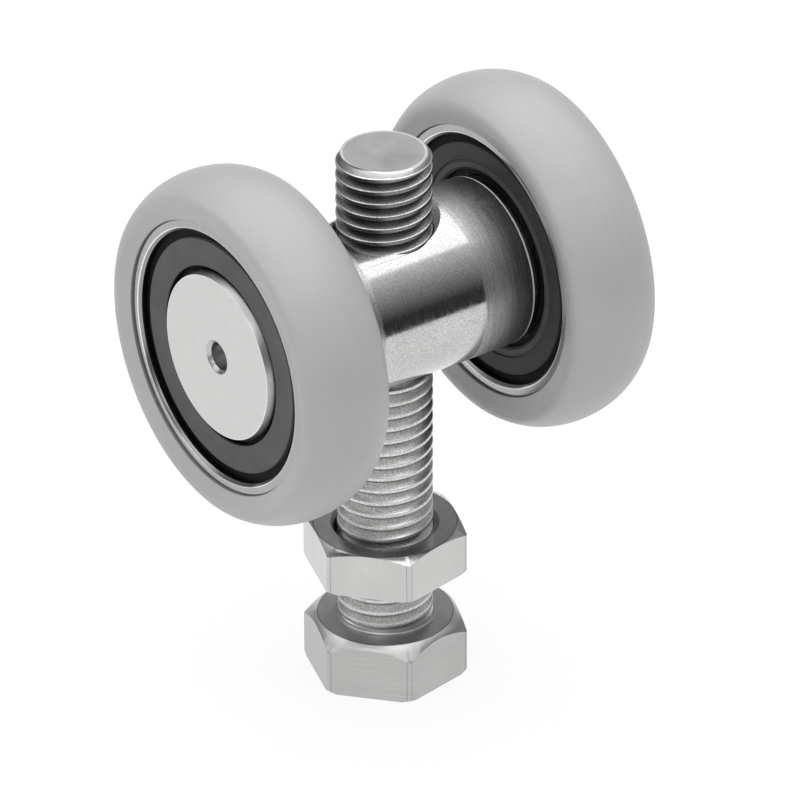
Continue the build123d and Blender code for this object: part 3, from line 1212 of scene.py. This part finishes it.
BOLT_BANDS = (
    Band(Measure.BOLT_RADIUS, -1.0, 5.0, 0.6, 0.06),  # painted shade in the root of the thread
    Band(Measure.BOLT_RADIUS, 5.78, 5.88, 3.2, 0.02),  # painted highlight on the edge of the crests
    Band(Measure.HEIGHT, 61.0, 72.3, 0.44, 0.8),  # darker upper end above the axle
    Band(Measure.HEIGHT, 9.0, 44.0, 1.22, 2.0),  # lighter thread below the axle
    Band(Measure.HEIGHT, 72.4, 73.0, 2.1),  # end face
    Band(Measure.HEIGHT, -1.0, 6.9, 0.74, 0.3),  # sides of the head
    Band(Measure.HEIGHT, 7.44, 7.6, 0.6),  # bearing face
    Band(Measure.BOLT_RADIUS, 8.34, 8.46, 0.5, 0.02),  # painted shade line along the edge of the bearing face
    Band(Measure.BOLT_RADIUS, 10.18, 10.24, 0.68, 0.02),  # painted shade lines beside the corners of the hexagon
)
NUT_BANDS = (
    Band(Measure.HEIGHT, 20.36, 20.5, 0.66),  # upper face
    Band(Measure.BOLT_RADIUS, 5.0, 6.7, 0.45),  # painted shade in the mouths of the hole
    Band(Measure.BOLT_RADIUS, 8.82, 8.94, 0.5, 0.02),  # painted shade line along the edge of the upper face
    Band(Measure.BOLT_RADIUS, 10.18, 10.24, 0.68, 0.02),  # painted shade lines beside the corners of the hexagon
)
CAP_BANDS = (
    Band(Measure.AXLE_RADIUS, 10.52, 11.0, 0.75),  # bevel
    Band(Measure.AXLE_RADIUS, 10.4, 10.5, 1.4),  # painted highlight along the edge of the face
    Band(Measure.AXLE_RADIUS, -1.0, 2.2, 0.85),  # painted shade in the centre hole
)
RING_BANDS = (
    Band(Measure.AXLE_RADIUS, 17.45, 17.6, 0.5),  # seam with the tyre
    Band(Measure.AXLE_RADIUS, 16.54, 17.45, 0.66),  # face
    Band(Measure.AXLE_RADIUS, 16.42, 16.54, 1.5),  # painted highlight along the inner edge of the face
    Band(Measure.AXLE_RADIUS, 16.12, 16.42, 0.5),  # painted shade on the bevel into the seal's groove
    Band(Measure.AXLE_RADIUS, 14.0, 16.12, 0.05),  # shaded wall beside the seal
)


@dataclass(frozen=True)
class Finishes:
    """Every material of the roller."""

    bolt: Material
    nut: Material
    axle: Material
    cap: Material
    ring: Material
    ball: Material
    cage: Material
    seal: Material
    tyre: Material

    @staticmethod
    def mixed() -> "Finishes":
        """Builds every material once."""
        bolt = SteelFinish(
            "bolt_steel", 0.66, roughness=0.36, grain=Grain.ROUND_BOLT, grain_depth=0.002, line_depth=0.003,
            mottle=0.04, streaks=0.08, pitted_from=8.0, bands=BOLT_BANDS,
        )
        nut = SteelFinish(
            "nut_steel", 0.58, roughness=0.2, grain=Grain.UPRIGHT, line_depth=0.0015,
            mottle=0.03, bands=NUT_BANDS,
        )
        cap = SteelFinish(
            "cap_steel", 0.62, roughness=0.3, grain_depth=0.001,
            mottle=0.03, unevenness=0.015, bands=CAP_BANDS,
        )
        ring = SteelFinish(
            "ring_steel", 0.6, roughness=0.22, grain=Grain.ROUND_AXLE, line_depth=0.002, bands=RING_BANDS
        )
        ball = SteelFinish("ball_steel", 0.7, roughness=0.08, grain_depth=0.0005, mottle=0.02)
        cage = SteelFinish("cage_steel", 0.5, roughness=0.3, grain_depth=0.003)
        seal, tyre = RubberFinish("seal_rubber"), NylonFinish("tyre_nylon")
        mixes = (bolt, nut, AxleFinish("axle_steel"), cap, ring, ball, cage, seal, tyre)
        return Finishes(*(mix.material() for mix in mixes))


@dataclass
class Wheels(DressedPart):
    """Both wheels, of which the left is modelled and the right copied."""

    finishes: Finishes | None = None

    def build(self) -> None:
        """Builds the left wheel's pieces and copies them to the right."""
        paint = self.finishes
        left = -WHEEL_OFFSET
        bearing = Bearing()
        tyre = Tyre().build("left_tyre_dressed", left)
        ring = bearing.outer_ring("left_outer_ring_dressed", left)
        outer = bearing.seal("left_outer_seal_dressed", left, -1.0, SealFace.FLAT)
        inner = bearing.seal("left_inner_seal_dressed", left, 1.0, SealFace.LIPPED)
        cap = EndCap().build("left_end_cap_dressed", left, -1.0)
        shift = 2 * WHEEL_OFFSET
        right_tyre = Bench.copied(tyre, "right_tyre_dressed", shift=shift)
        right_ring = Bench.copied(ring, "right_outer_ring_dressed", shift=shift)
        right_outer = Bench.copied(outer, "right_outer_seal_dressed", mirror_at=0.0)
        right_inner = Bench.copied(inner, "right_inner_seal_dressed", mirror_at=0.0)
        right_cap = Bench.copied(cap, "right_end_cap_dressed", mirror_at=0.0)
        sets = {
            "left": (tyre, ring, outer, inner, cap),
            "right": (right_tyre, right_ring, right_outer, right_inner, right_cap),
        }
        for hand, (tyre, ring, outer, inner, cap) in sets.items():
            wheel = f"{hand}_wheel"
            self.dress(tyre, paint.tyre, wheel, "tyre_nylon", f"{hand}_tyre")
            self.dress(ring, paint.ring, wheel, "ring_steel", f"{hand}_outer_ring")
            self.dress(outer, paint.seal, wheel, "seal_rubber", f"{hand}_outer_seal")
            self.dress(inner, paint.seal, wheel, "seal_rubber", f"{hand}_inner_seal")
            self.dress(cap, paint.cap, "axle", "cap_steel", f"{hand}_end_cap")
            self.coat(paint.ring, f"{hand}_inner_ring")
            self.coat(paint.ball, f"{hand}_balls")
            self.coat(paint.cage, f"{hand}_cage_outer_half", f"{hand}_cage_inner_half", f"{hand}_cage_rivets")


@dataclass
class Studio:
    """Pale floor, soft light and the camera."""

    azimuth: float = 54.1
    elevation: float = 30.5
    roll: float = 0.15
    distance: float = 1.6
    pixels_per_mm: float = 8.2
    centre_x: float = 384.6
    centre_y: float = 296.1
    image: float = 800.0
    sensor: float = 36.0
    floor_radius: float = 8.0
    floor_glow: float = 1.06
    floor_glow_share: float = 0.8
    card_place: Place = (0.171, 0.103, 0.155)
    card_size: Place = (0.44, 0.44, 0.31)
    card_turn: float = 121.2
    card_fade: Point = (60.0, 290.0)

    def floor(self) -> None:
        """Lays a pale floor that shows white to the camera and in the metal, and keeps the shadow."""
        Bench.clear()
        bpy.ops.mesh.primitive_circle_add(vertices=96, radius=self.floor_radius, fill_type="NGON")
        floor = Bench.named("studio_floor")
        nodes = Nodes("studio_paper")
        fibres = nodes.noise(nodes.place, 40.0, 2.0)
        tone = nodes.vary(fibres, 0.0, 1.0)
        tone = nodes.blend(tone, (0.86, 0.86, 0.86, 1.0), (0.88, 0.88, 0.88, 1.0))
        nodes.shade("Base Color", tone)
        nodes.shade("Roughness", 0.9)
        nodes.shade("Specular IOR Level", 0.1)
        path = nodes.tree.nodes.new("ShaderNodeLightPath")
        seen = nodes.math("MAXIMUM", path.outputs["Is Camera Ray"], path.outputs["Is Glossy Ray"])
        seen = nodes.math("MAXIMUM", seen, path.outputs["Is Transmission Ray"])
        white = nodes.tree.nodes.new("ShaderNodeEmission")
        mix = nodes.tree.nodes.new("ShaderNodeMixShader")
        white.inputs["Strength"].default_value = self.floor_glow
        nodes.plug(mix.inputs[0], nodes.times(seen, self.floor_glow_share))
        nodes.plug(mix.inputs[1], nodes.shader.outputs[0])
        nodes.plug(mix.inputs[2], white.outputs[0])
        output = next(node for node in nodes.tree.nodes if node.type == "OUTPUT_MATERIAL")
        nodes.plug(output.inputs["Surface"], mix.outputs[0])
        floor.data.materials.append(nodes.material)

    def softbox(self, name: str, place: Place, size: Point, power: float) -> None:
        """Hangs one soft lamp that faces the roller.

        Args:
            name: name of the lamp.
            place: its place in metres.
            size: its width and height in metres.
            power: its power in watts.
        """
        Bench.clear()
        bpy.ops.object.light_add(type="AREA", location=place)
        lamp = bpy.context.active_object
        lamp.name = name
        lamp.data.shape = "RECTANGLE"
        lamp.data.size, lamp.data.size_y = size
        lamp.data.energy = power
        lamp.visible_camera = False
        aim = AXLE_CENTRE - Vector(place)
        lamp.rotation_euler = aim.to_track_quat("-Z", "Y").to_euler()

    def flag(self) -> None:
        """Stands a dark card beyond the roller, which only reflections see."""
        Bench.clear()
        upright = (math.pi / 2, 0.0, math.radians(self.card_turn))
        bpy.ops.mesh.primitive_plane_add(size=1.0, location=self.card_place, rotation=upright)
        card = Bench.named("studio_flag")
        bpy.ops.transform.resize(value=self.card_size)
        bpy.ops.object.transform_apply(location=True, rotation=True, scale=True)
        nodes = Nodes("studio_card")
        fibres = nodes.noise(nodes.place, 90.0, 2.0)
        fibres = nodes.times(fibres, 0.02)
        fade = nodes.spread(nodes.measured(Measure.HEIGHT), 0.02, 0.98, *self.card_fade)
        fade = nodes.math("ADD", fibres, fade)
        tone = nodes.blend(fade, BLACK, WHITE)
        nodes.shade("Base Color", tone)
        nodes.shade("Roughness", 0.9)
        card.data.materials.append(nodes.material)
        card.visible_camera = False
        card.visible_shadow = False
        card.visible_diffuse = False

    def sky(self) -> None:
        """Fills the room with soft light that falls off towards the horizon."""
        world = bpy.data.worlds.new("studio_room")
        bpy.context.scene.world = world
        world.use_nodes = True
        tree = world.node_tree
        tree.nodes.clear()
        output = tree.nodes.new("ShaderNodeOutputWorld")
        background = tree.nodes.new("ShaderNodeBackground")
        coordinates = tree.nodes.new("ShaderNodeTexCoord")
        parts = tree.nodes.new("ShaderNodeSeparateXYZ")
        ramp = tree.nodes.new("ShaderNodeValToRGB")
        tree.links.new(coordinates.outputs["Generated"], parts.inputs[0])
        tree.links.new(parts.outputs["Z"], ramp.inputs[0])
        elements = ramp.color_ramp.elements
        elements[0].position, elements[0].color = 0.0, (0.16, 0.16, 0.165, 1.0)
        elements[1].position, elements[1].color = 0.85, (0.9, 0.9, 0.9, 1.0)
        middle = elements.new(0.45)
        middle.color = (0.3, 0.3, 0.305, 1.0)
        tree.links.new(ramp.outputs[0], background.inputs["Color"])
        background.inputs["Strength"].default_value = 1.0
        tree.links.new(background.outputs[0], output.inputs["Surface"])

    def camera(self) -> None:
        """Sets the camera at the photograph's angle and framing."""
        azimuth, elevation = math.radians(self.azimuth), math.radians(self.elevation)
        flat = math.cos(elevation)
        back = Vector((math.sin(azimuth) * flat, -math.cos(azimuth) * flat, math.sin(elevation)))
        right = Vector((math.cos(azimuth), math.sin(azimuth), 0.0))
        up = back.cross(right)
        half = self.image / 2
        across = (half - self.centre_x) / self.pixels_per_mm * MM
        down = (half - self.centre_y) / self.pixels_per_mm * MM
        aim = AXLE_CENTRE + right * across - up * down
        Bench.clear()
        bpy.ops.object.camera_add(location=aim + back * self.distance)
        camera = bpy.context.active_object
        camera.rotation_mode = "QUATERNION"
        camera.rotation_quaternion = (-back).to_track_quat("-Z", "Y")
        bpy.context.view_layer.update()
        turn, place = math.radians(self.roll), camera.location
        bpy.ops.transform.rotate(value=turn, orient_axis="Z", orient_type="LOCAL", center_override=place)
        camera.data.sensor_width = self.sensor
        camera.data.lens = self.pixels_per_mm / MM * self.distance * self.sensor / self.image
        camera.data.clip_start, camera.data.clip_end = 0.05, 40.0
        bpy.context.scene.camera = camera

    def build(self) -> None:
        """Sets up the whole studio."""
        self.floor()
        self.flag()
        self.sky()
        self.softbox("top_softbox", (0.0, 0.2, 0.75), (1.1, 1.0), 3.5)
        self.softbox("left_softbox", (-0.28, -0.475, 0.62), (0.5, 0.5), 0.7)
        self.softbox("front_softbox", (0.5, -0.75, 0.75), (0.6, 0.6), 1.6)
        self.camera()
        settings = bpy.context.scene.view_settings
        settings.view_transform = "Standard"


def main() -> None:
    """Builds every sub-assembly in order."""
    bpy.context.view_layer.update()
    finishes = Finishes.mixed()
    bolt = HangerBolt()
    bolt.dress(bolt.build(), finishes.bolt, "bolt", "bolt_steel", "hanger_bolt")
    nut = LockNut()
    nut.dress(nut.build(), finishes.nut, "nut", "nut_steel", "lock_nut")
    axle = AxleBody()
    axle.dress(axle.build(), finishes.axle, "axle", "axle_steel", "axle_body")
    Wheels(finishes=finishes).build()
    Studio().build()
    log.info("sizes written")


if __name__ == "__main__":
    main()
